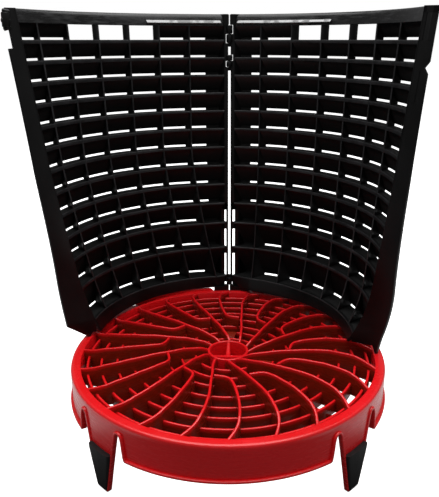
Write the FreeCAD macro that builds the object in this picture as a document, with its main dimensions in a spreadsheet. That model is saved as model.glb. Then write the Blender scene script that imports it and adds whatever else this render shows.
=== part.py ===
import FreeCAD, Part
import math
import os
import Sketcher

# A round grit insert for a wash bucket, with a hinged two-panel washboard standing on its rim.
# Units are millimetres.  +Z is up, the origin is the centre of the insert's top face,
# and the washboard stands along the +Y half of the rim with its hollow side towards -Y.

doc = FreeCAD.newDocument("BucketWashboard")
sheet = doc.addObject("Spreadsheet::Sheet", "Sizes")

SIZES = [
    ("insertRadius", 130.5), ("rimWidth", 8.0), ("rimThickness", 3.0), ("rimRound", 1.5),
    ("skirtWall", 2.4), ("rimWallDepth", 8.5), ("innerWallDepth", 14.0), ("skirtDepth", 29.0),
    ("lipReach", 2.0), ("lipHeight", 2.6), ("legDepth", 66.0), ("legBaseWidth", 12.0),
    ("legTopHalfAngle", 8.2), ("notchHalfAngle", 10.3), ("legAzimuth", 45.0),
    ("bootTopDepth", 30.5), ("bootFootDepth", 64.0), ("bootThickness", 3.4), ("bootTopWidth", 22.0),
    ("bootFootWidth", 10.0),
    ("ribCount", 12), ("ribThickness", 2.0), ("grateDepth", 14.0), ("domeRise", 7.0),
    ("ringThickness", 2.0), ("ringTopDepth", 4.0), ("hubRadius", 16.3), ("hubTopDepth", 1.0),
    ("vaneThickness", 2.0), ("vaneReach", 112.0), ("vaneInnerDepth", 60.0), ("vaneOuterDepth", 27.0),
    ("boardTop", 271.5), ("bandHeight", 9.3), ("bandWall", 2.6), ("bandFlare", 4.0),
    ("firstShelf", 248.5), ("pitchStart", 15.2), ("pitchSlope", 0.2), ("pitchCurve", 0.032),
    ("footPitchUpper", 26.4), ("footPitchLower", 31.8), ("footEdge", 3.4), ("standGap", 0.3),
    ("cellDepth", 9.6), ("footCellDepth", 21.0), ("plate", 1.6),
    ("louvreWall", 1.4), ("slotHeight", 1.7), ("flangeThickness", 3.4), ("flangeDepth", 15.0),
    ("hingeX", 1.3), ("hingeY", 130.5), ("hingeGap", 1.4), ("pinRadius", 1.3), ("pinPlay", 0.08),
    ("knuckleRadius", 2.9), ("knuckleRoom", 0.5), ("knuckleGap", 0.6),
    ("topKnuckleSplit", 254.3), ("topKnuckleHeight", 7.4), ("midKnuckleSplit", 230.7),
    ("midKnuckleHeight", 5.0), ("footKnuckleSplit", 9.9), ("footKnuckleHeight", 3.6),
    ("wingWall", 2.6), ("wingChamfer", 14.4), ("ribInset", 0.3),
    ("wingLevel", 6.0), ("wingGap", 0.1), ("wingStepHeight", 243.2),
    ("hookRadius", 3.6), ("hookHeight", 13.0), ("slotReach", 2.9), ("endSlotWidth", 3.4),
    ("endSlotHeight", 17.0),
    ("leftRadius", 126.9), ("leftCentreX", -3.2), ("leftCentreY", 0.5), ("leftFirstRib", 14.4),
    ("leftRibPitch", 12.4), ("leftEnd", 84.0), ("leftHingeTaper", 12.0), ("leftEndTaper", 7.9),
    ("leftLean", 16.1), ("leftFlareBase", -0.7), ("leftFlareEnd", 5.7), ("leftPull", 130.5),
    ("leftWingTurn", 215.0), ("leftFoot", 0.28), ("leftFootRise", 0.0), ("leftWingTopWidth", 10.8),
    ("leftWingSpread", 19.0), ("leftWingFall", 68.0), ("leftWingStep", 3.4),
    ("leftTab", 11.0), ("rightTab", 17.0),
    ("rightRadius", 133.7), ("rightCentreX", -17.0), ("rightCentreY", -0.2), ("rightFirstRib", 20.3),
    ("rightRibPitch", 12.65), ("rightEnd", 96.9), ("rightHingeTaper", 2.1), ("rightEndTaper", 7.8),
    ("rightLean", 10.5), ("rightFlareBase", 5.8), ("rightFlareEnd", 3.3), ("rightPull", 39.2),
    ("rightWingTurn", -24.0), ("rightFoot", 0.86), ("rightFootRise", 3.8), ("rightWingTopWidth", 9.0),
    ("rightWingSpread", 18.5), ("rightWingFall", 75.0), ("rightWingStep", 0.0),
]
for row, (name, value) in enumerate(SIZES, start=1):
    sheet.set(f"A{row}", name)
    sheet.set(f"B{row}", str(value))
    sheet.setAlias(f"B{row}", name)
doc.recompute()


def size(name):
    return float(sheet.get(name))


def bind(obj, **rules):
    """Ties the named properties of an object to expressions on the sheet."""
    for prop, rule in rules.items():
        obj.setExpression(prop.replace("__", "."), rule)
    return obj


def make(kind, name, **rules):
    return bind(doc.addObject(kind, name), **rules)


def turned(angle, x=0.0, y=0.0, z=0.0):
    turn = FreeCAD.Rotation(FreeCAD.Vector(0, 0, 1), angle)
    return FreeCAD.Placement(FreeCAD.Vector(x, y, z), turn)


def fixed(name, shape, placement=None):
    """A sub-part whose shape is built with Part's own functions."""
    obj = doc.addObject("Part::Feature", name)
    obj.Shape = shape
    obj.Placement = placement or FreeCAD.Placement()
    return obj


def body_profile(name, points, feature="PartDesign::Revolution"):
    """A body with one closed outline on the XZ plane; each corner is bound to the sheet."""
    body = doc.addObject("PartDesign::Body", name)
    sketch = body.newObject("Sketcher::SketchObject", name + "_outline")
    plane = [f for f in body.Origin.OriginFeatures if f.Role == "XZ_Plane"][0]
    sketch.AttachmentSupport = [(plane, "")]
    sketch.MapMode = "FlatFace"
    spots = []
    for x_rule, z_rule in points:
        spots.append(FreeCAD.Vector(rule_value(x_rule), rule_value(z_rule), 0))
    count = len(spots)
    for i in range(count):
        sketch.addGeometry(Part.LineSegment(spots[i], spots[(i + 1) % count]), False)
    for i in range(count):
        sketch.addConstraint(Sketcher.Constraint("Coincident", i, 2, (i + 1) % count, 1))
    for i, (x_rule, z_rule) in enumerate(points):
        for axis, rule, value in (("DistanceX", x_rule, spots[i].x), ("DistanceY", z_rule, spots[i].y)):
            index = sketch.addConstraint(Sketcher.Constraint(axis, -1, 1, i, 1, value))
            sketch.setExpression(f"Constraints[{index}]", rule)
    turn = body.newObject(feature, name + "_turn")
    turn.Profile = sketch
    turn.ReferenceAxis = (sketch, ["V_Axis"])
    turn.Angle = 360.0
    doc.recompute()
    return body


def rule_value(rule):
    """The value of a sum or difference of sheet names and numbers."""
    total = 0.0
    for word in rule.replace("-", "+-").split("+"):
        word = word.strip()
        if not word:
            continue
        sign = -1.0 if word.startswith("-") else 1.0
        name = word.lstrip("-").strip().replace("Sizes.", "")
        total += sign * (size(name) if name[0].isalpha() else float(name))
    return total


def point(x, y, z=0.0):
    return FreeCAD.Vector(x, y, z)


def solid_between(corners):
    """A ruled solid through a list of closed outlines."""
    wires = [Part.makePolygon(list(ring) + [ring[0]]) for ring in corners]
    return Part.makeLoft(wires, True, True)


def fused(shapes):
    whole = shapes[0].multiFuse(shapes[1:])
    return whole.removeSplitter()


parts = []


def keep(obj, label):
    obj.Label = label
    parts.append(obj)
    return obj


outer = "Sizes.insertRadius"
inner = "Sizes.insertRadius - Sizes.rimWidth"
R = size("insertRadius")
LEGS = {"rear_right": 1, "rear_left": 3, "front_left": 5, "front_right": 7}


def make_rim():
    """The flat top ring with its outer wall and the inner wall that carries the grate."""
    body = body_profile("rim", [
        (outer, "0 - Sizes.rimWallDepth"), (outer, "0"), (inner, "0"),
        (inner, "0 - Sizes.innerWallDepth"),
        (inner + " + Sizes.ringThickness", "0 - Sizes.innerWallDepth"),
        (inner + " + Sizes.ringThickness", "0 - Sizes.rimThickness"),
        (outer + " - Sizes.skirtWall", "0 - Sizes.rimThickness"),
        (outer + " - Sizes.skirtWall", "0 - Sizes.rimWallDepth")])
    turn = body.Tip
    edges = []
    for i, edge in enumerate(turn.Shape.Edges, start=1):
        box = edge.BoundBox
        if abs(box.ZMax) < 1e-6 and abs(box.ZMin) < 1e-6 and abs(box.XMax - R) < 1e-3:
            edges.append(f"Edge{i}")
    fillet = body.newObject("PartDesign::Fillet", "rim_edge")
    fillet.Base = (turn, edges)
    bind(fillet, Radius="Sizes.rimRound")
    keep(body, "insert_rim")


def ring_sector(name, radius, wall, height, angle):
    """A curved wall of the given outer radius, wall, height and angle, from azimuth 0."""
    full = make("Part::Cylinder", name + "_outside", Radius=radius, Height=height, Angle=angle)
    core = make("Part::Cylinder", name + "_inside", Radius=f"{radius} - {wall}", Height=height)
    cut = doc.addObject("Part::Cut", name)
    cut.Base, cut.Tool = full, core
    return cut


def make_skirts():
    """Four skirt walls between the legs, each with a bead along its lower edge."""
    sector = "(90 - 2 * Sizes.notchHalfAngle) * 1 deg"
    for name, quarter in {"right": 0, "rear": 1, "left": 2, "front": 3}.items():
        wall = ring_sector("skirt_wall_" + name, outer, "Sizes.skirtWall",
                           "(Sizes.skirtDepth - Sizes.rimWallDepth) * 1 mm", sector)
        bead = ring_sector("skirt_bead_" + name, outer + " + Sizes.lipReach",
                           "Sizes.skirtWall", "Sizes.lipHeight", sector)
        skirt = doc.addObject("Part::Fuse", "skirt_" + name)
        skirt.Base, skirt.Tool = wall, bead
        start = -size("legAzimuth") + size("notchHalfAngle") + 90.0 * quarter
        skirt.Placement = turned(start, z=-size("skirtDepth"))
        keep(skirt, "insert_skirt_" + name)


def upright_wedge(name, azimuth, **rules):
    """A tapering block: X runs round the rim, Y runs up and Z runs outwards."""
    wedge = make("Part::Wedge", name, **rules)
    lift = FreeCAD.Rotation(FreeCAD.Vector(1, 0, 0), 90)
    spin = FreeCAD.Rotation(FreeCAD.Vector(0, 0, 1), azimuth + 90)
    wedge.Placement = FreeCAD.Placement(FreeCAD.Vector(), spin * lift)
    return wedge


def make_legs():
    """Four tapering legs cut from the skirt's own curve, each with a rubber boot outside."""
    half_top = "Sizes.insertRadius * sin(Sizes.legTopHalfAngle * 1 deg)"
    for name, eighth in LEGS.items():
        azimuth = eighth * size("legAzimuth")
        block = upright_wedge(
            "leg_block_" + name, azimuth, Ymin="-Sizes.legDepth", Ymax="-Sizes.rimWallDepth",
            Xmin="-Sizes.legBaseWidth / 2", Xmax="Sizes.legBaseWidth / 2",
            X2min="-" + half_top, X2max=half_top, Zmin="Sizes.insertRadius / 2",
            Zmax="Sizes.insertRadius + 10", Z2min="Sizes.insertRadius / 2",
            Z2max="Sizes.insertRadius + 10")
        shell = ring_sector("leg_shell_" + name, outer, "Sizes.skirtWall", "Sizes.legDepth", "360")
        shell.Placement = turned(0, z=-size("legDepth"))
        leg = doc.addObject("Part::Common", "leg_" + name)
        leg.Base, leg.Tool = shell, block
        keep(leg, "insert_leg_" + name)
        pad = upright_wedge(
            "boot_block_" + name, azimuth, Ymin="-Sizes.bootFootDepth", Ymax="-Sizes.bootTopDepth",
            Xmin="-Sizes.bootFootWidth / 2", Xmax="Sizes.bootFootWidth / 2",
            X2min="-Sizes.bootTopWidth / 2", X2max="Sizes.bootTopWidth / 2",
            Zmin="Sizes.insertRadius / 2", Zmax="Sizes.insertRadius + Sizes.bootThickness / 2",
            Z2min="Sizes.insertRadius / 2", Z2max="Sizes.insertRadius + Sizes.bootThickness")
        core = make("Part::Cylinder", "boot_core_" + name, Radius=outer, Height="Sizes.legDepth")
        core.Placement = turned(0, z=-size("legDepth"))
        boot = doc.addObject("Part::Cut", "boot_" + name)
        boot.Base, boot.Tool = pad, core
        keep(boot, "rubber_boot_" + name)


def swirl_wall(handles, azimuth, low, high):
    """A thin upright wall along a smooth curve through (radius fraction, swirl angle) handles."""
    curve = Part.BSplineCurve()
    spots = []
    for fraction, swirl in handles:
        angle = math.radians(azimuth + swirl)
        spots.append(point(fraction * R * math.cos(angle), fraction * R * math.sin(angle), low))
    curve.interpolate(spots)
    half = size("ribThickness") / 2
    sides = []
    steps = 3 * len(handles)
    for side in (half, -half):
        line = []
        for i in range(steps + 1):
            at = curve.FirstParameter + (curve.LastParameter - curve.FirstParameter) * i / steps
            way = curve.tangent(at)[0]
            line.append(curve.value(at) + point(-way.y, way.x) * side)
        edge = Part.BSplineCurve()
        edge.interpolate(line)
        sides.append(edge)
    first, second = sides
    outline = Part.Wire([
        first.toShape(), Part.makeLine(first.value(first.LastParameter), second.value(second.LastParameter)),
        second.toShape(), Part.makeLine(second.value(second.FirstParameter), first.value(first.FirstParameter))])
    return Part.Face(outline).extrude(point(0, 0, high - low))


def make_grate():
    """Swirled ribs with domed tops, joined by flat-topped rings."""
    low = -size("grateDepth")
    rise = size("domeRise")
    hub = size("hubRadius") + size("ringThickness") / 2
    edge = R - size("rimWidth")
    crown = Part.BSplineCurve()
    crown.interpolate([
        point(edge, 0, 0), point(0.8 * R, 0, 0.75 * rise), point(0.57 * R, 0, rise),
        point(0.3 * R, 0, 0.7 * rise), point(hub, 0, -size("hubTopDepth"))])
    outline = Part.Wire([
        Part.makeLine(point(hub, 0, low), point(edge, 0, low)),
        Part.makeLine(point(edge, 0, low), point(edge, 0, 0)), crown.toShape(),
        Part.makeLine(point(hub, 0, -size("hubTopDepth")), point(hub, 0, low))])
    dome = Part.Face(outline).revolve(point(0, 0), point(0, 0, 1), 360)
    long_curve = [(0.96, 0.0), (0.78, 4.5), (0.6, 5.0), (0.36, 0.0), (0.2, -10.5), (0.12, -20.0)]
    short_curve = [(0.96, 0.0), (0.78, 4.5), (0.6, 5.0), (0.45, 3.0), (0.405, -3.0), (0.4, -12.5)]
    count = int(size("ribCount"))
    pieces = []
    for handles, start in ((long_curve, 0.5), (short_curve, 0.0)):
        rib = swirl_wall(handles, 0.0, low, rise + 5).common(dome)
        for i in range(count):
            copy = rib.copy()
            copy.rotate(point(0, 0), point(0, 0, 1), (i + start) * 360.0 / count)
            pieces.append(copy)
    top = -size("ringTopDepth")
    half = size("ringThickness") / 2
    for fraction in (0.9, 0.815, 0.715, 0.617, 0.51, 0.4, 0.305, 0.21):
        ring = Part.makeCylinder(fraction * R + half, top - low, point(0, 0, low))
        core = Part.makeCylinder(fraction * R - half, top - low, point(0, 0, low))
        pieces.append(ring.cut(core))
    keep(fixed("grate", fused(pieces)), "insert_grate")


def make_hub():
    """The centre ring with three blades that slope down to the middle."""
    low = -size("grateDepth")
    ring = ring_sector("hub_ring", "Sizes.hubRadius + Sizes.ringThickness / 2", "Sizes.ringThickness",
                       "(Sizes.grateDepth - Sizes.hubTopDepth) * 1 mm", "360")
    ring.Placement = turned(0, z=low)
    doc.recompute()
    reach = size("hubRadius") - size("ringThickness") / 2 + 0.2
    half = size("ribThickness") / 2
    blades = []
    for i in range(3):
        blade = Part.Face(Part.makePolygon([
            point(0, -half, low), point(reach, -half, low), point(reach, -half, -size("hubTopDepth") - 1),
            point(0, -half, -6.0), point(0, -half, low)])).extrude(point(0, 2 * half, 0))
        blade.rotate(point(0, 0), point(0, 0, 1), 88 + 120 * i)
        blades.append(blade)
    keep(fixed("hub", fused([ring.Shape] + blades)), "grate_hub")


def make_vanes():
    """Four plates under the grate, towards the legs, that keep the rinse water still."""
    half = size("vaneThickness") / 2
    top = -size("grateDepth")
    reach = size("vaneReach")
    for i, name in enumerate(LEGS):
        plate = Part.Face(Part.makePolygon([
            point(half, -half, top), point(reach, -half, top), point(reach, -half, -size("vaneOuterDepth")),
            point(0.35 * R, -half, -size("vaneInnerDepth")), point(half, -half, -size("vaneInnerDepth")),
            point(half, -half, top)])).extrude(point(0, 2 * half, 0))
        angle = LEGS[name] * size("legAzimuth")
        keep(fixed("vane_" + name, plate, turned(angle)), "calming_vane_" + name)


# The washboard.  A station is a rib line of a panel: 0 is the hinge edge and 7 the outer end.

STATIONS = range(8)
SIDES = {"left": -1.0, "right": 1.0}


def shelf_heights():
    """Shelf heights from the top: the pitch grows slowly, then two tall rows at the foot."""
    heights = [size("firstShelf")]
    for i in range(1, 11):
        pitch = size("pitchStart") + size("pitchSlope") * i + size("pitchCurve") * i * i
        heights.append(heights[-1] - pitch)
    heights.append(heights[-1] - size("footPitchUpper"))
    heights.append(heights[-1] - size("footPitchLower"))
    return heights


def foot_share(z, start, power):
    """0 above the height start, growing to 1 at the foot."""
    return max(0.0, (start - z) / start) ** power


def cell_depth(z):
    return size("cellDepth") + (size("footCellDepth") - size("cellDepth")) * foot_share(z, R, 1.5)


class Panel:
    """The shape of one washboard panel, worked out from the sheet."""

    def __init__(self, side):
        self.side = side
        self.sign = SIDES[side]
        angle = math.radians(self.value("Pull"))
        self.pull = point(math.cos(angle), math.sin(angle))
        self.across = point(math.sin(angle), -math.cos(angle)) * self.sign
        turn = math.radians(self.value("WingTurn"))
        self.wing = point(math.cos(turn), math.sin(turn))
        self.centre = point(self.value("CentreX"), self.value("CentreY"))

    def value(self, name):
        return size(self.side + name)

    def front(self, station, z):
        """A point of the hollow front face."""
        edge = size("hingeX") + self.sign * (size("hingeGap") + size("flangeThickness"))
        if station == 0:
            return point(edge, size("hingeY"), z)
        narrow = foot_share(z, 1.15 * R, 1.3)
        start = math.degrees(math.atan2(self.sign * (edge - self.centre.x), size("hingeY") - self.centre.y))
        end = self.value("End") - self.value("EndTaper") * narrow
        angle = end
        if station < 7:
            angle = self.value("FirstRib") + (station - 1) * self.value("RibPitch")
            angle -= self.value("HingeTaper") * narrow
        along = (angle - start) / (end - start)
        foot = max(0.0, 1.0 - z / (0.45 * R)) * 1.28
        radius = self.value("Radius") + self.value("Lean") * along ** 2 * (z / R - 0.45)
        radius -= (self.value("FlareBase") + self.value("FlareEnd") * along) * foot ** 2
        turn = math.radians(angle)
        return self.centre + point(self.sign * radius * math.sin(turn), radius * math.cos(turn), z)

    def foot(self, station):
        """Height of the lower edge, which rises where the panel passes over the domed ribs."""
        return size("footEdge") + self.value("FootRise") * min(1.0, max(0.0, (station - 2) / 3))

    def wing_width(self, z):
        """The wing spreads towards the foot and steps in below its top fitting."""
        width = self.value("WingTopWidth") + self.value("WingSpread") * math.exp(-z / self.value("WingFall"))
        return width - (self.value("WingStep") if z > size("wingStepHeight") else 0.0)

    def wing_edge(self, z):
        """A point of the wing's free edge."""
        return self.front(7, z) + self.wing * self.wing_width(z)

    def strip(self, stations, outline):
        """A ruled strip through the stations; outline gives (how far back, height) corners."""
        rings = []
        for station in stations:
            rings.append([self.front(station, z) + self.pull * back for back, z in outline])
        return solid_between(rings)


def make_grid(panel):
    """Ribs and shelves, with a sloping louvre that closes the back of each cell but for a slot."""
    half, inset, wall = size("plate") / 2, size("ribInset"), size("louvreWall")
    band = size("boardTop") - size("bandHeight")
    heights = shelf_heights()
    frame = []
    for z in heights:
        line = [panel.front(station, z - half) for station in STATIONS]
        line += [p + panel.pull * cell_depth(z) for p in line[::-1]]
        frame.append(Part.Face(Part.makePolygon(line + [line[0]])).extrude(point(0, 0, 2 * half)))
    louvres = []
    tops = [band + half - inset] + heights
    for i, low in enumerate(heights):
        high = tops[i] - half + inset
        foot = low + half + size("slotHeight")
        back = cell_depth(low) - inset
        outline = [(2 * inset, high), (2 * inset + wall, high), (back, foot), (back - wall, foot)]
        for stations in ([STATIONS[:3], STATIONS[5:]] if i == 0 else [STATIONS]):
            louvres.append(panel.strip(stations, outline))
    for station in STATIONS[1:7]:
        rings = []
        for z in heights[::-1][::2] + [band]:
            base = panel.front(station, z) + panel.pull * inset
            away = panel.pull * (cell_depth(z) - 2 * inset)
            side = panel.across * half
            rings.append([base - side, base + side, base + away + side, base + away - side])
        frame.append(solid_between(rings))
    lattice = frame[0].multiFuse(frame[1:]).multiFuse(louvres)
    keep(fixed(panel.side + "_grid", lattice), panel.side + "_panel_grid")


def make_bands(panel):
    """The rounded top band, and the plain band along the foot with the tab beside the hinge."""
    top = size("boardTop")
    low = top - size("bandHeight")
    flare, wall = size("bandFlare"), size("bandWall")
    back = cell_depth(low)
    outline = [(0, low), (flare, top), (back, top), (back, top - wall), (flare + wall, top - wall), (wall, low)]
    band = panel.strip(STATIONS, outline)
    keep(fixed(panel.side + "_band", band), panel.side + "_top_band")
    shelf = shelf_heights()[-1] - size("plate") / 2
    rings = []
    for station in STATIONS:
        foot = panel.foot(station)
        rings.append([panel.front(station, z) + panel.pull * back
                      for back, z in ((0, foot), (0, shelf), (wall, shelf), (wall, foot))])
    pieces = [solid_between(rings)]
    tab = point(panel.sign * panel.value("Tab"), -1.0)
    rings = []
    for z in (size("standGap"), panel.foot(0) + 0.5):
        start = panel.front(0, z)
        depth = panel.pull * wall
        rings.append([start, start + tab, start + tab + depth, start + depth])
    pieces.append(solid_between(rings))
    keep(fixed(panel.side + "_foot", fused(pieces)), panel.side + "_foot_band")


def end_hook(panel):
    """A rounded knuckle on the free edge of the wing, for a slot to catch on."""
    low = size("boardTop") - size("hookHeight") - 1.5
    base = panel.wing_edge(low + size("hookHeight") / 2) + panel.wing * (size("hookRadius") - 1.6)
    return Part.makeCylinder(size("hookRadius"), size("hookHeight"), point(base.x, base.y, low))


def end_slot(panel):
    """The slot through the wing beside its free edge."""
    top = size("boardTop") - 5.0
    near, far = size("slotReach"), size("slotReach") + size("endSlotWidth")
    rings = []
    for z in (top - size("endSlotHeight"), top):
        edge = panel.front(7, z)
        rings.append([edge + panel.wing * out + panel.pull * away for out, away in (
            (near, -2.0), (far, -2.0), (far, size("wingWall") + 2.0), (near, size("wingWall") + 2.0))])
    return solid_between(rings)


def make_wing(panel, added=None, removed=None):
    """The plate beyond the last cell, cut off at an angle below, and the wall that closes the cell."""
    wall = size("wingWall")
    foot, top, chamfer = panel.foot(7), size("boardTop"), size("wingChamfer")
    tip = panel.value("Foot")
    stand = size("standGap")
    back, nudge = panel.pull * wall, panel.wing * size("wingGap")
    # close levels where the foot flares, so that the wing follows the end of the grid
    step, ledge = size("wingLevel"), size("wingStepHeight")
    levels = [foot, (foot + chamfer) / 2, chamfer] + [chamfer + step * i for i in range(1, 10)]
    levels += [z for z in shelf_heights()[::-1] if z > levels[-1] + step / 2] + [ledge, ledge + 0.4, top]
    levels.sort()
    rings = []
    for z in levels[2:]:
        inner_edge, outer_edge = panel.front(7, z) + nudge, panel.wing_edge(z)
        rings.append([inner_edge, outer_edge, outer_edge + back, inner_edge + back])
    pieces = [solid_between(rings)] + ([added] if added else [])
    base, width = panel.front(7, chamfer) + nudge, panel.wing_width(chamfer)
    outline = [base + panel.wing * (width * share) + point(0, 0, z - chamfer) for share, z in (
        (0, foot), (tip - 0.14, foot), (tip - 0.03, stand), (tip + 0.03, stand), (1, chamfer), (0, chamfer))]
    pieces.append(Part.Face(Part.makePolygon(outline + [outline[0]])).extrude(back))
    rings = []
    for z in levels:
        start = panel.front(7, z) + nudge
        away = panel.pull * cell_depth(z)
        rings.append([start, start + panel.wing * wall, start + panel.wing * wall + away, start + away])
    pieces.append(solid_between(rings))
    wing = fused(pieces)
    if removed:
        wing = wing.cut(removed)
    keep(fixed(panel.side + "_wing", wing), panel.side + "_outer_wing")


def knuckle_spans():
    """(low, high) of each knuckle on the left and the right: the left's is lowest at the foot."""
    spans = ([], [])
    for place, upper in (("top", 0), ("mid", 0), ("foot", 1)):
        split, height = size(place + "KnuckleSplit"), size(place + "KnuckleHeight")
        gap = size("knuckleGap") / 2
        spans[upper].append((split + gap, split + gap + height))
        spans[1 - upper].append((split - gap - height, split - gap))
    return spans


def make_hinge(panel, knuckles, rooms, pinned):
    """The flange beside the hinge, with its own knuckles and room for the other panel's."""
    axis = point(size("hingeX"), size("hingeY"))
    foot, top = size("footEdge"), size("boardTop")
    near = point(size("hingeX") + panel.sign * size("hingeGap"), size("hingeY"))
    side = point(panel.sign * size("flangeThickness"), 0)
    back = panel.pull * size("flangeDepth")
    outline = [near, near + side, near + side + back, near + back]
    flange = Part.Face(Part.makePolygon(outline + [outline[0]])).extrude(point(0, 0, top - foot))
    flange.translate(point(0, 0, foot))
    reach = size("knuckleRadius") + size("knuckleRoom")
    for low, high in rooms:
        slack = size("knuckleRoom") / 2
        flange = flange.cut(Part.makeCylinder(reach, high - low + 2 * slack, axis + point(0, 0, low - slack)))
    pin = size("pinRadius")
    for low, high in knuckles:
        flange = flange.fuse(Part.makeCylinder(size("knuckleRadius"), high - low, axis + point(0, 0, low)))
    if pinned:
        for (low, high), (bottom, upper) in zip(rooms, knuckles):
            start, end = min(low, bottom + 1.0), max(high, upper - 1.0)
            flange = flange.fuse(Part.makeCylinder(pin, end - start, axis + point(0, 0, start)))
    else:
        bore = Part.makeCylinder(pin + size("pinPlay"), top, axis)
        flange = flange.cut(bore)
    keep(fixed(panel.side + "_hinge", flange.removeSplitter()), panel.side + "_hinge_flange")


def check_and_write():
    doc.recompute()
    for obj in doc.Objects:
        if "Invalid" in obj.State or "Error" in obj.State:
            raise RuntimeError(f"{obj.Name} failed: {obj.State}")
    for obj in parts:
        if obj.Shape.isNull() or not obj.Shape.isValid() or len(obj.Shape.Solids) != 1:
            raise RuntimeError(f"{obj.Label} isn't one good solid")
    os.makedirs("parts", exist_ok=True)
    for obj in parts:
        obj.Shape.exportStep(f"parts/{obj.Label}.step")
        print(obj.Label, "volume", round(obj.Shape.Volume))


make_rim()
make_skirts()
make_legs()
make_grate()
make_hub()
make_vanes()
left, right = Panel("left"), Panel("right")
left_knuckles, right_knuckles = knuckle_spans()
for panel in (left, right):
    make_grid(panel)
    make_bands(panel)
make_wing(left, added=end_hook(left))
make_wing(right, removed=end_slot(right))
make_hinge(left, left_knuckles, right_knuckles, False)
make_hinge(right, right_knuckles, left_knuckles, True)
check_and_write()
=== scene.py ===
import json
import math

import bmesh
import bpy
import numpy as np
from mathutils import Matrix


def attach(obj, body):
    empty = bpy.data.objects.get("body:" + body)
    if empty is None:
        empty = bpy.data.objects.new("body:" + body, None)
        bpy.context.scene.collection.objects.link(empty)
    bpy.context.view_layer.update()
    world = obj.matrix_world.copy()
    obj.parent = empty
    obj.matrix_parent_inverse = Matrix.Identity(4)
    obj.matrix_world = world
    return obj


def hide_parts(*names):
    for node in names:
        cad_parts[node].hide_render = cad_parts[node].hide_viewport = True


# A red grit insert for a wash pail with a black hinged washboard standing on its rim.
# Lengths in the formulas are millimetres: a mesh is scaled to metres when it is built.

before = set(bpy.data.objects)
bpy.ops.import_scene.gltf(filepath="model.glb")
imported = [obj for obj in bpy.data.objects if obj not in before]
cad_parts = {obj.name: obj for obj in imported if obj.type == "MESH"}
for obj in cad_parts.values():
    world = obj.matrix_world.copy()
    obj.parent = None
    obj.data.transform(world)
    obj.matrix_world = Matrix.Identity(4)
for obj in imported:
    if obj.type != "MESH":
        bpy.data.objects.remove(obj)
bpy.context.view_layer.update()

insert = dict(radius=130.5, rimWidth=8.0, wall=2.4, legDepth=66.0, low=-14.0)
board = dict(
    top=271.5, band=10.3, foot=3.4, hingeX=1.3, hingeY=130.5, gap=0.95, flange=3.8, flangeDepth=14.8,
    wall=2.6, slot=1.7, wingChamfer=14.4, wingStepHeight=243.2)
leftPanel = dict(
    side="left", sign=-1.0, radius=126.9, centre=(-3.2, 0.5), firstRib=14.4, pitch=12.4, end=84.0,
    hingeTaper=12.0, endTaper=7.9, lean=16.1, flareBase=-0.7, flareEnd=5.7, pull=130.5, wingTurn=215.0,
    tip=0.28, tab=11.0, footRise=0.0, wingTop=10.8, wingSpread=19.0, wingFall=68.0, wingStep=3.4)
rightPanel = dict(
    side="right", sign=1.0, radius=133.7, centre=(-17.0, -0.2), firstRib=20.3, pitch=12.65, end=96.9,
    hingeTaper=2.1, endTaper=7.8, lean=10.5, flareBase=5.8, flareEnd=3.3, pull=39.2, wingTurn=-24.0,
    tip=0.86, tab=17.0, footRise=3.8, wingTop=9.0, wingSpread=18.5, wingFall=75.0, wingStep=0.0)
view = dict(lens=49.45, shift=-0.0194, tilt=70.89, place=(0, -0.4582, 0.2495))


def rounded(corners, radius, steps=4):
    # a closed outline with each corner rounded by a quadratic curve that starts radius from it
    corners = np.array(corners, float)
    radii = np.broadcast_to(radius, len(corners))
    points = []
    for i, corner in enumerate(corners):
        before, after = corners[i - 1] - corner, corners[(i + 1) % len(corners)] - corner
        if radii[i] <= 0:
            points.append(corner)
            continue
        reach = [min(radii[i], 0.49 * np.linalg.norm(v)) / np.linalg.norm(v) for v in (before, after)]
        a, b = corner + before * reach[0], corner + after * reach[1]
        for t in np.linspace(0, 1, steps):
            points.append((1 - t) ** 2 * a + 2 * t * (1 - t) * corner + t ** 2 * b)
    return np.array(points)


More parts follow.
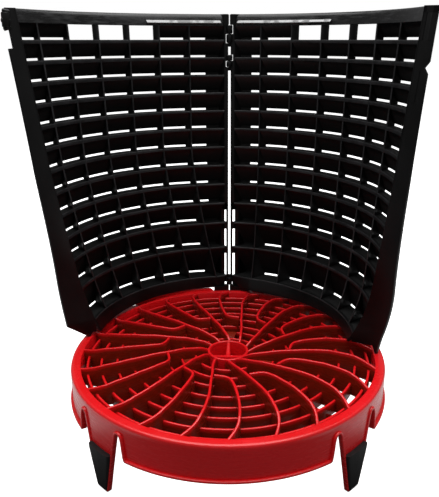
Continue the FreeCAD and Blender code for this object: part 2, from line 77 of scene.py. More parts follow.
class Build:
    # collects swept surfaces into one mesh

    def __init__(self):
        self.points, self.faces, self.depths, self.count = [], [], [], 0

    def add(self, points, faces, depth=0.0):
        # depth is kept for every point: how far it lies in or down from the edge that is seen first; the grid
        # and grate materials paint shade from it, and the grid paints edge highlights from it
        self.points.append(np.asarray(points, float).reshape(-1, 3))
        self.depths.append(np.broadcast_to(depth, points.shape[:-1]).reshape(-1))
        self.faces += [[v + self.count for v in face] for face in faces]
        self.count += len(self.points[-1])

    def sweep(self, section, origin, across, up, closed=False, depth=None):
        # an outline, or one for each place, laid along the origins with its two axes
        origin = np.asarray(origin, float)
        n = len(origin)
        section = np.asarray(section, float)
        if section.ndim == 2:
            section = np.broadcast_to(section, (n,) + section.shape)
        across = np.broadcast_to(np.asarray(across, float), (n, 3))
        up = np.broadcast_to(np.asarray(up, float), (n, 3))
        points = origin[:, None] + across[:, None] * section[..., 0:1] + up[:, None] * section[..., 1:2]
        self.loft(points, closed, section[..., 0] if depth is None else depth)

    def loft(self, points, closed=False, depth=0.0):
        # a skin through rings of points, with both ends filled unless it closes on itself
        n, m = points.shape[:2]
        i, j = np.meshgrid(np.arange(n if closed else n - 1), np.arange(m), indexing="ij")
        k, l = (i + 1) % n, (j + 1) % m
        faces = np.stack([i * m + j, k * m + j, k * m + l, i * m + l], -1).reshape(-1, 4).tolist()
        if not closed:
            faces += [list(range(m))[::-1], [(n - 1) * m + v for v in range(m)]]
        self.add(points, faces, depth)

    def piece(self, name, material, body, replaces=(), angle=42):
        # the finished mesh in metres, smooth except over edges sharper than the angle
        mesh = bpy.data.meshes.new(name)
        points = np.concatenate(self.points) * 0.001
        mesh.from_pydata(points.tolist(), [], self.faces)
        mesh.update()
        mesh.attributes.new("depth", "FLOAT", "POINT").data.foreach_set("value", np.concatenate(self.depths))
        made = bpy.data.objects.new(name, mesh)
        bpy.context.scene.collection.objects.link(made)
        mesh.materials.append(material)
        bm = bmesh.new()
        bm.from_mesh(mesh)
        bmesh.ops.recalc_face_normals(bm, faces=bm.faces)
        bm.to_mesh(mesh)
        bm.free()
        mesh.shade_smooth()
        mesh.set_sharp_from_angle(angle=math.radians(angle))
        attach(made, body)
        if replaces:
            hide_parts(*replaces)


def polar(radius, degrees, z):
    # points from a radius, an azimuth in degrees and a height
    radius, degrees, z = np.broadcast_arrays(radius, degrees, z)
    turn = np.radians(degrees)
    return np.stack([radius * np.cos(turn), radius * np.sin(turn), z], -1)


def smooth(x, low, high):
    # 0 below low, 1 above high and 3 t^2 - 2 t^3 between them
    t = np.clip((np.asarray(x, float) - low) / (high - low), 0, 1)
    return t * t * (3 - 2 * t)


class Wire:
    # a shader socket with arithmetic

    def __init__(self, tree, socket):
        self.tree, self.socket = tree, socket

    def node(self, kind, inputs, output=0, **settings):
        made = self.tree.nodes.new(kind)
        for key, value in settings.items():
            setattr(made, key, value)
        for key, value in inputs.items():
            if isinstance(value, Wire):
                self.tree.links.new(value.socket, made.inputs[key])
            else:
                made.inputs[key].default_value = value
        return Wire(self.tree, made.outputs[output])

    def maths(self, operation, *values):
        return self.node("ShaderNodeMath", dict(enumerate(values)), operation=operation)

    def __add__(self, other):
        return self.maths("ADD", self, other)

    def __radd__(self, other):
        return self.maths("ADD", other, self)

    def __sub__(self, other):
        return self.maths("SUBTRACT", self, other)

    def __rsub__(self, other):
        return self.maths("SUBTRACT", other, self)

    def __mul__(self, other):
        return self.maths("MULTIPLY", self, other)

    def __rmul__(self, other):
        return self.maths("MULTIPLY", other, self)

    def span(self, low, high, toLow=0.0, toHigh=1.0):
        return self.node("ShaderNodeMapRange", {0: self, 1: low, 2: high, 3: toLow, 4: toHigh},
                         interpolation_type="SMOOTHSTEP")

    def between(self, first, second):
        return self.node("ShaderNodeMix", {0: self, 6: first, 7: second}, output=2, data_type="RGBA")

    def noise(self, scale, detail=3.0, roughness=0.55):
        # self is a position: fine or coarse noise there, 0 to 1
        return self.node("ShaderNodeTexNoise",
                         {"Vector": self, "Scale": scale, "Detail": detail, "Roughness": roughness})

    def stretched(self, x, y, z):
        return self.node("ShaderNodeVectorMath", {0: self, 1: (x, y, z)}, operation="MULTIPLY")

    def bump(self, strength, distance):
        return self.node("ShaderNodeBump", {"Height": self, "Strength": strength, "Distance": distance})


def plastic(name, paint):
    # an empty material, its shader and the object position to paint with
    made = bpy.data.materials.new(name)
    made.use_nodes = True
    tree = made.node_tree
    shader = tree.nodes["Principled BSDF"]
    place = tree.nodes.new("ShaderNodeTexCoord")
    values = paint(Wire(tree, place.outputs["Object"]))
    for key, value in values.items():
        if isinstance(value, Wire):
            tree.links.new(value.socket, shader.inputs[key])
        else:
            shader.inputs[key].default_value = value
    return made


def redPaint(place):
    # glossy red: cloudy in tone, with fine grain and level flow marks
    cloud = place.noise(14.0, 2.0)
    grain = place.noise(900.0, 2.0)
    flow = place.stretched(1.0, 1.0, 6.0).noise(60.0, 3.0)
    tone = cloud.span(0.3, 0.7).between((0.72, 0.007, 0.009, 1), (0.79, 0.009, 0.014, 1))
    return {"Base Color": tone, "Roughness": flow.span(0.3, 0.7, 0.22, 0.31),
            "Normal": (grain * 0.4 + flow * 0.6).bump(0.05, 0.0006), "IOR": 1.49}


def blackPaint(place):
    # satin black: cloudy in tone and gloss, with grey scuffs
    cloud = place.noise(22.0, 3.0)
    grain = place.noise(1400.0, 2.0)
    scuff = place.stretched(1.0, 1.0, 0.25).noise(240.0, 4.0, 0.7)
    tone = cloud.span(0.3, 0.7).between((0.0022, 0.0022, 0.0023, 1), (0.0040, 0.0040, 0.0042, 1))
    worn = scuff.span(0.62, 0.8, 0.0, 0.3).between(tone, (0.016, 0.016, 0.017, 1))
    dull = cloud.span(0.3, 0.7, 0.30, 0.40) + scuff.span(0.5, 0.8, 0.0, 0.08)
    return {"Base Color": worn, "Roughness": dull,
            "Normal": (grain * 0.7 + cloud * 0.3).bump(0.12, 0.0005), "IOR": 1.45,
            "Specular IOR Level": 0.45}


def bandPaint(place):
    # the same plastic, rubbed along the top
    look = blackPaint(place)
    rub = place.stretched(0.5, 0.5, 3.0).noise(160.0, 4.0, 0.7)
    look["Base Color"] = rub.span(0.50, 0.72, 0.0, 0.55).between(look["Base Color"], (0.045, 0.045, 0.047, 1))
    look["Roughness"] = rub.span(0.4, 0.7, 0.26, 0.46)
    return look


def gridPaint(place):
    # the same plastic, with a painted highlight along the front edges, mottled by noise, and painted shade
    # that darkens it down in the cells
    look = blackPaint(place)
    depth = place.node("ShaderNodeAttribute", {}, output=2, attribute_name="depth")
    # rub is only noise that breaks up the painted edge highlight below
    rub = place.noise(90.0, 4.0, 0.65)
    # painted highlight: the front edges are lighter where light catches them, in patches
    edge = depth.span(0.15, 1.1, 1.0, 0.0) * rub.span(0.25, 0.75, 0.35, 1.0)
    # painted shade: the colour turns near black further back and down in the cells
    paintedCellShade = depth.span(0.8, 3.0).between(look["Base Color"], (0.0006, 0.0006, 0.0006, 1))
    look["Base Color"] = edge.between(paintedCellShade, (0.034, 0.034, 0.036, 1))
    look["Roughness"] = depth.span(1.0, 5.0, 0.34, 0.75)
    return look


def beadPaint(place):
    # the polished ridge along the top band, dull in patches
    patch = place.noise(75.0, 3.0, 0.6)
    return {"Base Color": (0.012, 0.012, 0.012, 1), "Roughness": patch.span(0.42, 0.56, 0.16, 0.6),
            "IOR": 2.3}


def gratePaint(place):
    # the red plastic, with painted shade that turns it darker and browner down between the ribs
    look = redPaint(place)
    depth = place.node("ShaderNodeAttribute", {}, output=2, attribute_name="depth")
    # painted shade: the colour darkens and browns with depth below the rib tops
    look["Base Color"] = depth.span(0.3, 4.0).between(look["Base Color"], (0.20, 0.012, 0.003, 1))
    return look


def rubberPaint(place):
    # dull black with a fine, deep grain
    cloud = place.noise(60.0, 3.0)
    grain = place.noise(1800.0, 3.0)
    tone = cloud.span(0.3, 0.7).between((0.004, 0.004, 0.0043, 1), (0.008, 0.008, 0.008, 1))
    return {"Base Color": tone, "Roughness": cloud.span(0.3, 0.7, 0.5, 0.65),
            "Normal": grain.bump(0.25, 0.0004), "IOR": 1.5, "Specular IOR Level": 0.35}


def floorPaint(place):
    # white to look at, but it throws little light back on the model
    seen = place.node("ShaderNodeLightPath", {})
    return {"Base Color": seen.between((0.10, 0.10, 0.10, 1), (0.90, 0.90, 0.90, 1)), "Roughness": 0.85,
            "Specular IOR Level": 0.1, "Emission Color": seen.between((0, 0, 0, 1), (1, 1, 1, 1)),
            "Emission Strength": 1.0}


red = plastic("redPlastic", redPaint)
black = plastic("blackPlastic", blackPaint)
topBlack = plastic("bandPlastic", bandPaint)
gridBlack = plastic("gridPlastic", gridPaint)
beadBlack = plastic("beadPlastic", beadPaint)
grateRed = plastic("gratePlastic", gratePaint)
rubber = plastic("blackRubber", rubberPaint)
pale = plastic("paleFloor", floorPaint)
print("materials ready")


rim = insert["radius"]


def fromLeg(degrees):
    # angle to the nearest leg: the legs stand at 45 degrees and at every 90 from there
    return np.abs(np.asarray(degrees, float) % 90.0 - 45.0)


def lowerEdge(degrees):
    # height of the insert's lower edge, straight between corners given by their angle from a leg
    corners = [0, 2.35, 2.8, 3.05, 7.95, 8.3, 8.8, 9.3, 9.8, 10.25, 10.5, 11.15, 11.5, 12.0, 45]
    heights = [-65.9, -65.9, -65.2, -63.5, -13.2, -10.4, -8.9, -8.6, -9.0, -10.5, -13.2, -26.0, -28.4,
               -29, -29]
    return np.interp(fromLeg(degrees), corners, heights)


def columns():
    # azimuths round the insert, close together where the lower edge is steep
    steps = (np.arange(-45, -12.2, 0.9), np.arange(-12.2, -2.2, 0.12), np.arange(-2.2, 0, 0.55))
    quarter = np.concatenate(steps)
    quarter = np.concatenate([quarter, -quarter[:0:-1]])
    return np.concatenate([quarter + 45 + 90 * k for k in range(4)])


def makeShell():
    # rim, skirts and legs as one wall: each column is a closed outline in (radius, height)
    degrees = columns()
    edge = lowerEdge(degrees)
    inner = rim - insert["rimWidth"]
    top = [(inner, -14.0), (inner, -0.7), (inner + 0.25, -0.2), (inner + 0.8, 0.0), (inner + 2.0, 0.0),
           (rim - 3.0, 0.0), (rim - 1.7, -0.05), (rim - 0.9, -0.35), (rim - 0.35, -0.95), (rim, -2.1)]
    under = [(rim - 2.4, -4.4), (rim - 3.4, -3.2), (rim - 5.0, -3.0), (inner + 2.6, -3.0),
             (inner + 2.0, -4.0), (inner + 1.6, -14.0)]
    down = np.linspace(0, 1, 12)
    sections = []
    for bottom in edge:
        low = min(bottom, -5.0)
        outside = [(rim, -2.1 + (low + 2.1) * t) for t in down[1:]]
        inside = [(rim - 2.4, -4.4 + (low + 4.4) * t) for t in down[:0:-1]]
        sections.append(top + outside + inside + under)
    out = polar(1.0, degrees, 0.0)
    shell = Build()
    shell.sweep(np.array(sections), np.zeros((len(degrees), 3)), out, (0, 0, 1), closed=True)
    # the bead along the lower edge, and round the notches
    path = polar(rim, degrees, edge)
    ahead = np.roll(path, -1, 0) - np.roll(path, 1, 0)
    ahead /= np.linalg.norm(ahead, axis=1)[:, None]
    side = np.cross(out, ahead)
    side /= np.linalg.norm(side, axis=1)[:, None]
    # it stands out less on the legs than along the skirts
    reach = 2.0 - 0.7 * (1 - smooth(fromLeg(degrees), 8.5, 11.0))
    bead = rounded([(-2.2, -0.05), (1.0, -0.05), (1.0, 2.2), (-2.2, 2.2)], 0.8, 4)
    sections = np.repeat(bead[None], len(degrees), 0)
    sections[..., 0] *= reach[:, None]
    sections[..., 0] = np.clip(sections[..., 0], -2.3, 2.0)
    shell.sweep(sections, path, out, side, closed=True)
    shell.piece("insertShell", red, "insert", [
        "insert_rim", "insert_skirt_right", "insert_skirt_rear", "insert_skirt_left", "insert_skirt_front",
        "insert_leg_rear_right", "insert_leg_rear_left", "insert_leg_front_left", "insert_leg_front_right"])


def domeTop(radius):
    # height of the rib tops: a low dome that falls to the rim and to the hub
    return np.interp(np.asarray(radius) / rim, [0.0, 0.125, 0.175, 0.3, 0.5, 0.65, 0.8, 0.94],
                     [-1.5, -1.0, 2.0, 5.0, 6.9, 6.9, 5.0, 0.0])


def swirl(handles, steps):
    # a smooth curve through (radius share, swirl angle) handles, by Catmull-Rom interpolation
    p = np.array(handles, float)
    p = np.concatenate([[2 * p[0] - p[1]], p, [2 * p[-1] - p[-2]]])
    t = np.linspace(0, len(handles) - 1 - 1e-9, steps)
    k = t.astype(int)
    f = (t - k)[:, None]
    a, b, c, d = p[k], p[k + 1], p[k + 2], p[k + 3]
    square = 2 * a - 5 * b + 4 * c - d
    cube = 3 * b - a - 3 * c + d
    return 0.5 * (2 * b + (c - a) * f + square * f ** 2 + cube * f ** 3)


def wallSection(width, low, top, draft=0.35):
    # an upright wall: a rounded top and sides that widen downwards, for arrays of width and top
    width, low, top = np.broadcast_arrays(np.asarray(width, float), low, top)
    half = width / 2
    shape = [(-1, 0, draft), (-1, 1, 0), (-0.92, 1, 0), (-0.6, 1, 0), (0, 1, 0), (0.6, 1, 0), (0.92, 1, 0),
             (1, 1, 0), (1, 0, draft)]
    drop = [0, -0.75, -0.32, -0.07, 0, -0.07, -0.32, -0.75, 0]
    rows = []
    for (side, level, extra), fall in zip(shape, drop):
        x = side * (half + extra)
        z = np.where(level == 1, top + fall * half, low)
        rows.append(np.stack([x, z], -1))
    return np.stack(rows, 1)


def upright(build, path, width, low, top):
    # a wall along a path in plan, with the section above
    path = np.asarray(path, float)
    ahead = np.gradient(path, axis=0)
    ahead[:, 2] = 0
    ahead /= np.linalg.norm(ahead, axis=1)[:, None]
    side = np.stack([-ahead[:, 1], ahead[:, 0], np.zeros(len(path))], -1)
    section = wallSection(width, low, top)
    build.sweep(section, path * [1, 1, 0], side, (0, 0, 1), depth=section[:, 4:5, 1] - section[..., 1])


def makeGrate():
    # twelve long and twelve short swirled ribs under a dome, and eight rings at shares of the radius
    grate = Build()
    low = insert["low"]
    longRib = [(0.955, -0.5), (0.86, 3.2), (0.78, 4.6), (0.68, 5.2), (0.58, 4.8), (0.46, 2.6), (0.36, 0.0),
               (0.28, -4.5), (0.2, -10.5), (0.13, -20.0)]
    shortRib = [(0.955, -0.5), (0.86, 3.2), (0.78, 4.6), (0.68, 5.2), (0.58, 4.8), (0.5, 3.8), (0.44, 1.8),
                (0.415, -1.6), (0.405, -6.0), (0.4, -11.5)]
    for handles, start in ((longRib, 15.0), (shortRib, 0.0)):
        line = swirl(handles, 80)
        for i in range(12):
            path = polar(line[:, 0] * rim, line[:, 1] + start + 30.0 * i, 0.0)
            upright(grate, path, 2.0, low, domeTop(line[:, 0] * rim))
    for share in (0.9, 0.815, 0.715, 0.617, 0.51, 0.4, 0.305, 0.21):
        turn = np.linspace(0, 360, 181)[:-1]
        out = polar(1.0, turn, 0.0)
        section = wallSection(np.full(len(turn), 1.9), low, -4.0)
        grate.sweep(section, polar(share * rim, turn, 0.0), out, (0, 0, 1), True, -4.0 - section[..., 1])
    grate.piece("swirlGrate", grateRed, "insert", ["insert_grate"])


def makeHub():
    # a ring with three walls that rise from its centre towards the ring
    hub = Build()
    turn = np.linspace(0, 360, 91)[:-1]
    section = wallSection(np.full(len(turn), 2.2), insert["low"], -0.6)
    hub.sweep(section, polar(16.3, turn, 0.0), polar(1.0, turn, 0.0), (0, 0, 1), closed=True)
    for k in range(3):
        reach = np.linspace(0.0, 16.0, 16)
        path = polar(reach, 88.0 + 120 * k, 0.0)
        top = -6.0 + 4.4 * (reach / 16) ** 1.3
        upright(hub, path, 2.4 + 0.12 * (16 - reach), insert["low"], top)
    hub.piece("grateHub", red, "insert", ["grate_hub"])


def makeTabs():
    # three flat plates between ribs, near the hub
    tabs = Build()
    for k in range(3):
        arc = np.linspace(-9.5, 9.5, 14)
        near, far = 0.215 * rim, 0.302 * rim
        plate = rounded([(near, -5.2), (far, -5.2), (far, -3.4), (near, -3.4)], 0.5)
        tabs.sweep(plate, np.zeros((len(arc), 3)), polar(1.0, arc + 88.0 + 120 * k, 0.0), (0, 0, 1))
    tabs.piece("grateTabs", grateRed, "insert")


def makeBoots():
    # pads outside the legs that follow the wall's curve and get wider and thicker upwards
    legs = {"rear_right": 45, "rear_left": 135, "front_left": 225, "front_right": 315}
    for name, azimuth in legs.items():
        boot = Build()
        height = np.linspace(0, 1, 14)
        z = -64.0 + 33.5 * height
        half = 6.2 + 7.2 * height
        thick = 2.2 + 1.6 * height
        sections, origin = [], []
        for h, wide, deep in zip(z, half, thick):
            span = np.linspace(-1, 1, 9)
            back = [(rim * (math.cos(wide * s / rim) - 1) + 0.05, wide * s) for s in span]
            front = [(rim * (math.cos(wide * s / rim) - 1) + deep, wide * s * 0.93) for s in span[::-1]]
            sections.append(rounded([back[0], back[4], back[-1], front[0], front[4], front[-1]],
                                    [0.3, 0, 0.3, 1.3, 0.6, 1.3], 4))
            origin.append(polar(rim, azimuth, h))
        sections, origin = np.array(sections), np.array(origin)
        pinch = 1 - 0.05 * (np.abs(2 * height - 1) ** 12)
        sections[..., 1] *= pinch[:, None]
        out = polar(1.0, azimuth, 0.0)
        side = polar(1.0, azimuth + 90, 0.0)
        boot.sweep(sections, origin, out, side)
        boot.piece("rubberBoot_" + name, rubber, "insert", ["rubber_boot_" + name])


makeShell()
makeGrate()
makeHub()
makeTabs()
makeBoots()
print("insert ready")


def shelfHeights():
    # the shelves from the top down: the pitch grows with the square of the row, and the last two are wider
    heights = [248.5]
    for i in range(1, 11):
        heights.append(heights[-1] - (15.2 + 0.2 * i + 0.032 * i * i))
    return np.array(heights + [heights[-1] - 26.4, heights[-1] - 58.2])


def footShare(z, start, power):
    # 0 from the start height up, growing to 1 at the foot as a power
    return np.clip((start - np.asarray(z, float)) / start, 0, None) ** power


def cellDepth(z):
    # the cells get deeper towards the foot
    return 9.6 + 11.4 * footShare(z, rim, 1.5)


def heading(degrees):
    # the level unit vector at an azimuth
    return np.array([math.cos(math.radians(degrees)), math.sin(math.radians(degrees)), 0.0])


def front(panel, station, z):
    # points on the hollow face, for stations from 0 at the hinge to 7 at the last rib: an arc about the
    # panel's centre, with ribs at equal angles, whose radius grows with height and shrinks at the foot
    station, z = np.broadcast_arrays(np.asarray(station, float), np.asarray(z, float))
    edge = board["hingeX"] + panel["sign"] * (board["gap"] + board["flange"])
    cx, cy = panel["centre"]
    narrow = footShare(z, 1.15 * rim, 1.3)
    start = math.degrees(math.atan2(panel["sign"] * (edge - cx), board["hingeY"] - cy))
    end = panel["end"] - panel["endTaper"] * narrow
    first = panel["firstRib"] - panel["hingeTaper"] * narrow
    last = first + 5 * panel["pitch"]
    outward = np.maximum(station, 1.0)
    angle = np.where(outward > 6, last + (end - last) * (outward - 6), first + (outward - 1) * panel["pitch"])
    along = (angle - start) / (end - start)
    foot = np.clip(1.0 - z / (0.45 * rim), 0, None) * 1.28
    radius = panel["radius"] + panel["lean"] * along ** 2 * (z / rim - 0.45)
    radius = radius - (panel["flareBase"] + panel["flareEnd"] * along) * foot ** 2
    turn = np.radians(angle)
    x = cx + panel["sign"] * radius * np.sin(turn)
    y = cy + radius * np.cos(turn)
    # the first cell runs straight to the hinge
    near = np.clip(station, 0, 1)
    return np.stack([edge + (x - edge) * near, board["hingeY"] + (y - board["hingeY"]) * near, z + 0 * x], -1)


def slanted(panel, stations, outline, low, high):
    # an outline in (how far back, height) whose places in plan go from those at low to those at high
    lower, upper = front(panel, stations, low), front(panel, stations, high)
    lower[:, 2] = upper[:, 2] = 0
    share = np.clip((outline[:, 1] - low) / (high - low), 0, 1)
    return (lower[:, None] + (upper - lower)[:, None] * share[None, :, None]
            + heading(panel["pull"]) * outline[None, :, 0:1] + np.array([0, 0, 1.0]) * outline[None, :, 1:2])


def footEdge(panel, station):
    # height of the lower edge, which rises where the panel passes over the domed ribs
    return board["foot"] + panel["footRise"] * np.clip((np.asarray(station, float) - 2) / 3, 0, 1)


def run(low=0.0, high=7.0, each=8):
    # stations from low to high, so many for each cell
    return np.linspace(low, high, int(round((high - low) * each)) + 1)


def makeGrid(panel):
    # shelves, upright ribs, and behind each cell a louvre that slopes back and leaves a slot over the shelf
    grid = Build()
    pull = heading(panel["pull"])
    across = heading(panel["pull"] - 90)
    heights = shelfHeights()
    band = board["top"] - board["band"]
    half = 0.85
    stations = run()
    for z in heights:
        # a shelf whose front lip gets deeper away from the hinge
        back = float(cellDepth(z))
        lips = 0.25 + 1.2 * smooth(stations, 0.5, 4.5)
        shelves = [rounded([(0, -half - lip), (1.5, -half - lip), (2.4, -half), (back, -half), (back, half),
                            (0, half)], [0.5, 0.4, 0.4, 0.2, 0.2, 0.6]) for lip in lips]
        grid.sweep(np.array(shelves), front(panel, stations, z), pull, (0, 0, 1))
    for station in range(1, 7):
        z = np.linspace(heights[-1], band + 0.5, 60)
        outline = rounded([(0.0, -0.75), (4.0, -0.75), (4.0, 0.75), (0.0, 0.75)], [0.55, 0, 0, 0.55])
        ribs = np.repeat(outline[None], len(z), 0)
        ribs[:, outline[:, 0] > 3.9, 0] = (cellDepth(z) - 0.3)[:, None]
        grid.sweep(ribs, front(panel, station, z), pull, across)
    tops = np.concatenate([[band + half], heights])
    for i, low in enumerate(heights):
        back, high, wall = float(cellDepth(low)), tops[i] - 0.4, 1.3
        foot = low + half + board["slot"]
        louvre = rounded([(0.5, high), (0.5 + wall, high), (back, foot + 0.4), (back - 0.5, foot),
                          (back - wall, foot + 0.2)], [0.2, 0.2, 0.3, 0.3, 0.3])
        stop = rounded([(back - wall, low), (back, low), (back, foot + 0.6), (back - wall, foot + 0.6)], 0.1)
        for a, b in ([(0, 2), (5, 7)] if i == 0 else [(0, 7)]):
            grid.loft(slanted(panel, run(a, b), louvre, foot, high), depth=louvre[:, 0])
        grid.loft(slanted(panel, run(0, 0.375 if i < 10 else 1.0), stop, low, tops[i]), depth=stop[:, 0])
    grid.piece(panel["side"] + "Grid", gridBlack, "washboard_" + panel["side"],
               [panel["side"] + "_panel_grid"])


def makeBands(panel):
    # the hollow-backed top band with its ridge, and the foot band with a tab that ends it at the hinge
    pull = heading(panel["pull"])
    top, low = board["top"], board["top"] - board["band"]
    build = Build()
    lip = rounded([(0, low), (2.6, low), (6.6, top - 2.6), (10, top - 2.6), (10, top), (4.0, top)],
                  [0.6, 0.6, 1.5, 0.5, 0.9, 3.4], 6)
    path = front(panel, run(0, 7, 12), low)
    path[:, 2] = 0
    build.sweep(lip, path, pull, (0, 0, 1))
    build.piece(panel["side"] + "TopBand", topBlack, "washboard_" + panel["side"],
                [panel["side"] + "_top_band"])
    build = Build()
    ends = run(0.1, 2.4 if panel["side"] == "left" else 3.3, 12)
    path = front(panel, ends, low)
    path[:, 2] = 0
    ridge = rounded([(0.6, low + 1.4), (-0.8, low + 2.1), (-0.8, low + 2.7), (1.2, low + 4.9),
                     (2.4, low + 4.9)], [0.3, 0.5, 0.5, 0.6, 0])
    build.sweep(ridge, path, pull, (0, 0, 1))
    build.piece(panel["side"] + "BandRidge", beadBlack, "washboard_" + panel["side"])
    build = Build()
    foot, shelf = board["foot"], shelfHeights()[-1]
    rings = []
    for station in run():
        edge = float(footEdge(panel, station))
        outline = rounded([(0, edge), (2.6, edge), (2.6, shelf), (0, shelf)], [0.7, 0.6, 0.1, 0.5])
        rings.append(slanted(panel, np.array([station]), outline, foot, shelf)[0])
    build.loft(np.array(rings))
    start = front(panel, 0, foot)
    reach = panel["sign"] * panel["tab"]
    tab = rounded([(0, -3.8), (0, 2.4), (reach, 1.4), (reach, -4.6)], 0.3)
    levels = np.array([[0, 0, 0.3 - foot], [0, 0, 0.8 - foot], [0, 0, 1.0]])
    build.sweep(tab, start + levels, (1, 0, 0), (0, 1, 0))
    build.piece(panel["side"] + "FootBand", black, "washboard_" + panel["side"],
                [panel["side"] + "_foot_band"])


def wingWidth(panel, z):
    # the top width, and a spread that fades exponentially with height; above the step it is narrower
    z = np.asarray(z, float)
    spread = panel["wingSpread"] * np.exp(-z / panel["wingFall"])
    return panel["wingTop"] + spread - panel["wingStep"] * (z > board["wingStepHeight"])


def tube(build, centre, axis, radii, places, steps=20):
    # a turned shape: radii at places along an axis
    axis = np.asarray(axis, float)
    side = np.cross(axis, (0.3, 0.2, 0.9) if abs(axis[2]) < 0.9 else (1.0, 0.0, 0.0))
    side /= np.linalg.norm(side)
    ring = np.linspace(0, 2 * math.pi, steps, endpoint=False)
    circle = np.stack([np.cos(ring), np.sin(ring)], -1)
    sections = np.array(radii, float)[:, None, None] * circle
    build.sweep(sections, np.asarray(centre, float) + np.array(places, float)[:, None] * axis, side,
                np.cross(axis, side))


def capsule(build, centre, axis, radius, length):
    # a round bar with softened ends
    soft = min(0.8, radius * 0.4)
    radii = [radius - soft, radius - 0.3 * soft, radius]
    places = [0, 0.3 * soft, soft]
    tube(build, centre, axis, radii + radii[::-1], places + [length - place for place in places[::-1]])


def makeWing(panel):
    # the plate beyond the last rib, with its fitting near the top
    wing = Build()
    pull, out = heading(panel["pull"]), heading(panel["wingTurn"])
    wall, top, chamfer = board["wall"], board["top"], board["wingChamfer"]
    foot = float(footEdge(panel, 7))
    left = panel["side"] == "left"
    # the plate, down to its slanted foot; on the right it starts below the slot
    ceiling = top if left else top - 22.4
    z = np.concatenate([[0.4, foot / 2, foot, foot, (foot + chamfer) / 2, chamfer],
                        np.linspace(chamfer + 3, 243.0, 56), np.linspace(243.4, ceiling, 8)])
    width = wingWidth(panel, np.maximum(z, chamfer))
    tip = panel["tip"]
    rise = np.clip((z - 0.3) / (chamfer - 0.3), 0, 1)
    outer = width * (tip + 0.03 + (0.97 - tip) * rise)
    inner = width * np.where(z > foot, 0.0, tip - 0.03 - 0.11 * np.clip((z - 0.3) / (foot - 0.3), 0, 1))
    inner[3] = 0.0
    if not left:
        # a notch in the free edge
        outer = outer - 2.6 * ((z > 228.5) & (z < 232.5))
    base = front(panel, 7, np.maximum(z, chamfer))
    base[:, 2] = z
    sections = [rounded([(a, 0), (b, 0), (b, wall), (a, wall)], [0.4, 0.9, 0.5, 0.2])
                for a, b in zip(inner, outer)]
    wing.sweep(np.array(sections), base, out, pull)
    # the wall that closes the last cell
    levels = np.linspace(foot, top, 70)
    walls = []
    for level in levels:
        depth = float(cellDepth(level)) - 0.2
        walls.append(rounded([(0, 0), (1.8, 0), (1.8, depth), (0, depth)], [0.7, 0.7, 0.2, 0.2]))
    wing.sweep(np.array(walls), front(panel, 7, levels), out, pull)
    if left:
        # a knuckle with three prongs, each with its height, length, radius and slope
        edge = front(panel, 7, 264.0) + out * float(wingWidth(panel, 264.0))
        centre = edge + out * 1.2
        centre[2] = 258.0
        capsule(wing, centre, (0, 0, 1), 3.0, 10.5)
        prongs = ((268.5, 5.2, 1.5, 0.21), (262.5, 6.6, 1.7, 0.06), (258.2, 5.6, 1.5, -0.27))
        for height, length, radius, slope in prongs:
            start = edge - out * 2.0
            start[2] = height
            aim = out + np.array([0, 0, slope])
            capsule(wing, start, aim / np.linalg.norm(aim), radius, length)
    else:
        # the slot near the top: two strips with a bridge above and below
        z = np.linspace(ceiling - 0.5, top, 26)
        place, width = front(panel, 7, z), wingWidth(panel, z)
        for near, far, low in ((0, 2.9, 0), (6.3, 0, 0), (0, 0, top - 5.0)):
            keep = z >= low
            strips = np.array([rounded([(near, 0), (far or w, 0), (far or w, wall), (near, wall)], 0.6)
                               for w in width[keep]])
            wing.sweep(strips, place[keep], out, pull)
        # the raised bar below it
        z = np.linspace(top - 64.0, top - 42.0, 16)
        bar = rounded([(3.4, 0.3), (5.4, 0.3), (5.4, -0.8), (3.4, -0.8)], 0.4)
        wing.sweep(bar, front(panel, 7, z), out, pull)
    wing.piece(panel["side"] + "Wing", black, "washboard_" + panel["side"],
               [panel["side"] + "_outer_wing"])


def knuckles(side):
    # the lowest and highest point of each knuckle: the left's is the upper one at the foot only
    spans = []
    for split, height, leftUpper in ((254.3, 7.4, True), (230.7, 5.0, True), (9.9, 3.6, False)):
        upper = leftUpper == (side == "left")
        spans.append((split + 0.3, split + 0.3 + height) if upper else (split - 0.3 - height, split - 0.3))
    return spans


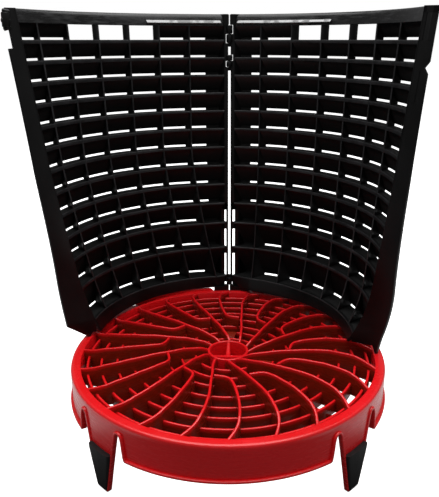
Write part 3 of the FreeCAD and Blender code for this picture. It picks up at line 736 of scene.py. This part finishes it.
def makeHinge(panel):
    # the flange beside the hinge, with its knuckles, and pins on the right panel only
    hinge = Build()
    sign = panel["sign"]
    pull = heading(panel["pull"])
    axis = np.array([board["hingeX"], board["hingeY"], 0.0])
    side = np.array([sign, 0.0, 0.0])
    near = axis + side * board["gap"]
    wide, deep = board["flange"], board["flangeDepth"]

    def block(a, b, first, last, low, high):
        # a bar from a to b sideways, from first to last backwards and from low to high
        outline = rounded([(a, first), (b, first), (b, last), (a, last)], 0.35)
        hinge.sweep(outline, near + np.array([[0, 0, low], [0, 0, high]]), side, pull)

    heights = shelfHeights()
    # near the foot a web behind the flange reaches as far back as the cells beside it
    z = np.linspace(heights[-1] - 0.6, 75.0, 12)
    webs = []
    for back in cellDepth(z) - 0.3:
        webs.append(rounded([(wide - 1.8, 6), (wide, 6), (wide, back), (wide - 1.8, back)], 0.2))
    hinge.sweep(np.array(webs), near + np.stack([0 * z, 0 * z, z], -1), side, pull)
    # below this height the front strip has windows between the shelves
    windowTop = heights[-4] - 6.5
    rooms = sorted(knuckles("right" if sign < 0 else "left"))
    # the plate behind, and the front strip broken where the other panel's knuckles turn
    block(0, wide, 5.8, deep, board["foot"], board["top"])
    edges = [windowTop]
    for low, high in rooms:
        if low > windowTop:
            edges += [low - 0.15, high + 0.15]
    edges.append(board["top"])
    for low, high in zip(edges[::2], edges[1::2]):
        block(0, wide, 0, 6.4, low, high)
    for low, high in rooms:
        block(2.15, wide, 0, 6.4, max(low - 0.3, board["foot"]), high + 0.3)
    # above and below the knuckles the two panels nearly meet, just in front of the hinge line
    for low, high, edge in ((262.4, board["top"] - 0.5, -1.4), (0.4, 6.0, -3.6)):
        lip = rounded([(0.4, edge), (0.4, -0.1), (1.2, -0.1), (1.2, 0.4), (5.2, 0.4), (5.2, edge)], 0.2)
        hinge.sweep(lip, axis + np.array([[0, 0, low], [0, 0, high]]), side, (0, 1, 0))
    block(0, 1.3, 0, 1.6, 14.5, windowTop + 0.5)
    for shelf in heights[-4:]:
        block(0, wide, 0, 6.4, max(shelf - 6.2, board["foot"]), shelf + 0.8)
    for low, high in knuckles(panel["side"]):
        capsule(hinge, axis + (0, 0, low), (0, 0, 1), 2.9, high - low)
        if panel["side"] == "right":
            capsule(hinge, axis + (0, 0, low - 3.4), (0, 0, 1), 1.3, high - low + 6.8)
    hinge.piece(panel["side"] + "Hinge", black, "washboard_" + panel["side"],
                [panel["side"] + "_hinge_flange"])


def makeKerb():
    # the low step on the rear rim that the washboard's foot sits behind
    kerb = Build()
    for first, last in ((50.0, 79.0), (96.9, 135.0)):
        turn = np.linspace(first, last, 40)
        height = 3.25 * smooth(np.minimum(turn - first, last - turn), -0.4, 1.6)
        sections = [rounded([(128.2, -0.6), (128.2, top - 0.5), (130.4, top - 0.5), (130.4, -0.6)],
                            [0, 0.9, 0.9, 0]) for top in height]
        kerb.sweep(np.array(sections), np.zeros((len(turn), 3)), polar(1.0, turn, 0.0), (0, 0, 1))
    kerb.piece("rimKerb", red, "insert")


makeKerb()
for panel in (leftPanel, rightPanel):
    makeGrid(panel)
    makeBands(panel)
    makeWing(panel)
    makeHinge(panel)
print("washboard ready")

# each CAD node gets the material of its slot
for name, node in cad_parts.items():
    made = black
    if name.startswith(("insert", "grate", "calming")):
        made = red
    elif name.startswith("rubber"):
        made = rubber
    node.data.materials.clear()
    node.data.materials.append(made)


def makeStudio():
    # a white floor and background, a wide light overhead, and two cards on the floor that shine upwards
    scene = bpy.context.scene
    low = -0.001 * insert["legDepth"]
    bpy.ops.mesh.primitive_plane_add(size=14.0, location=(0, 2.0, low))
    floor = bpy.context.object
    floor.name = "floor"
    floor.data.materials.append(pale)
    world = bpy.data.worlds.new("studio")
    world.use_nodes = True
    nodes, links = world.node_tree.nodes, world.node_tree.links
    seen = nodes.new("ShaderNodeLightPath")
    shade = nodes.new("ShaderNodeMapRange")
    shade.inputs["To Min"].default_value = 0.22
    shade.inputs["To Max"].default_value = 1.0
    links.new(seen.outputs["Is Camera Ray"], shade.inputs["Value"])
    links.new(shade.outputs["Result"], nodes["Background"].inputs["Strength"])
    nodes["Background"].inputs["Color"].default_value = (1, 1, 1, 1)
    scene.world = world
    lights = (
        ("key", (0.0, 0.05, 1.25), 1.4, 24.0),
        ("cardLeft", (-0.42, 0.02, low + 0.001), 0.52, 0.7),
        ("cardRight", (0.42, 0.02, low + 0.001), 0.52, 0.7))
    for name, place, size, power in lights:
        lamp = bpy.data.lights.new(name, "AREA")
        lamp.size, lamp.energy = size, power
        holder = bpy.data.objects.new(name, lamp)
        holder.location = place
        holder.visible_camera = False
        aim = np.array([0, 0, 0.02]) - np.array(place) if place[2] > 0 else np.array([0, 0.0001, 1])
        holder.rotation_euler = (math.atan2(math.hypot(aim[0], aim[1]), -aim[2]), 0,
                                 math.atan2(aim[1], aim[0]) - math.pi / 2)
        scene.collection.objects.link(holder)
    lens = bpy.data.cameras.new("camera")
    lens.sensor_fit, lens.sensor_width = "HORIZONTAL", 36.0
    lens.lens, lens.shift_x = view["lens"], view["shift"]
    holder = bpy.data.objects.new("camera", lens)
    holder.location = view["place"]
    holder.rotation_euler = (math.radians(view["tilt"]), 0, 0)
    scene.collection.objects.link(holder)
    scene.camera = holder
    scene.view_settings.view_transform = "Standard"


makeStudio()
print("studio ready")
